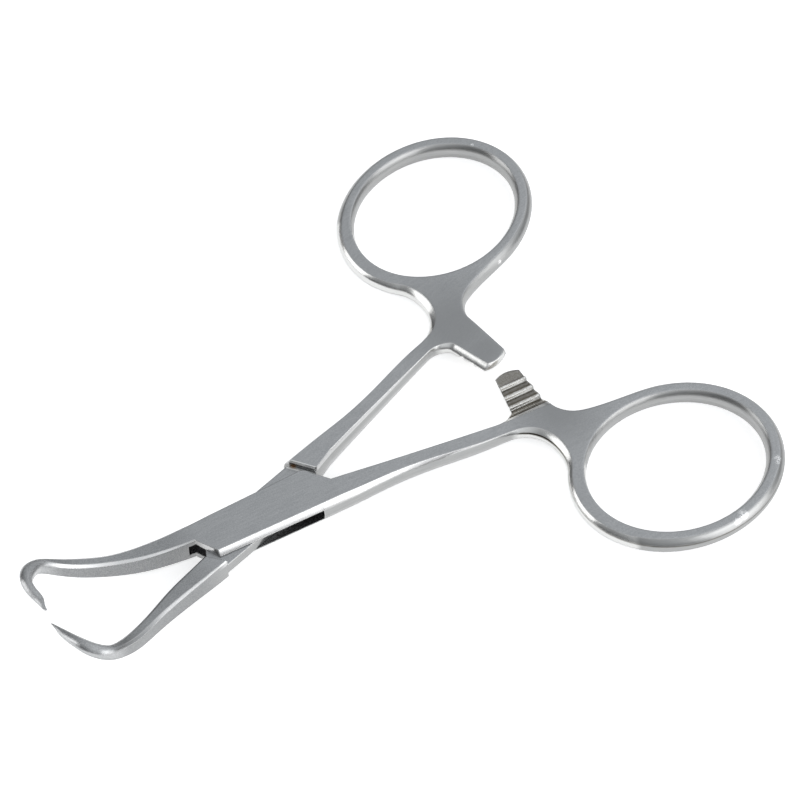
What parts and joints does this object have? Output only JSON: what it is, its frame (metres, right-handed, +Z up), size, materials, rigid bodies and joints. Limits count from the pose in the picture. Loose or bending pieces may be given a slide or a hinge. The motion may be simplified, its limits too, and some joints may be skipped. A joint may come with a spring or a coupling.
{
  "type": "towel clamp",
  "caption": "Ringed towel clamp with a box lock, a ratchet between the finger rings, and slim up-curved jaws that end in sharp inward hooks.",
  "frame": {"origin": "on the pivot axis, in the underside of the box lock, which is the plane that the clamp rests on", "axes": "+X along the clamp from the pivot towards the jaw tips, +Z up along the pivot axis, +Y towards the box half's finger ring"},
  "size_m": [0.0882, 0.0712, 0.0101],
  "materials": {
    "box_half_steel": "satin ground, with polished tip and ring edges",
    "slide_half_steel": "satin ground, with polished tip and ring edges",
    "pivot_pin_steel": "ground flush and satin"
  },
  "bodies": {
    "box_body": {"box_half": "box_half_steel", "pivot_pin": "pivot_pin_steel"},
    "slide_body": {"slide_half": "slide_half_steel"}
  },
  "joints": [
    {"name": "box_lock_hinge", "type": "hinge", "parent": "box_body", "child": "slide_body", "pos_m": [0, 0, 0.00185], "axis": [0, 0, 1], "range_deg": [-8.6, 60]}
  ]
}
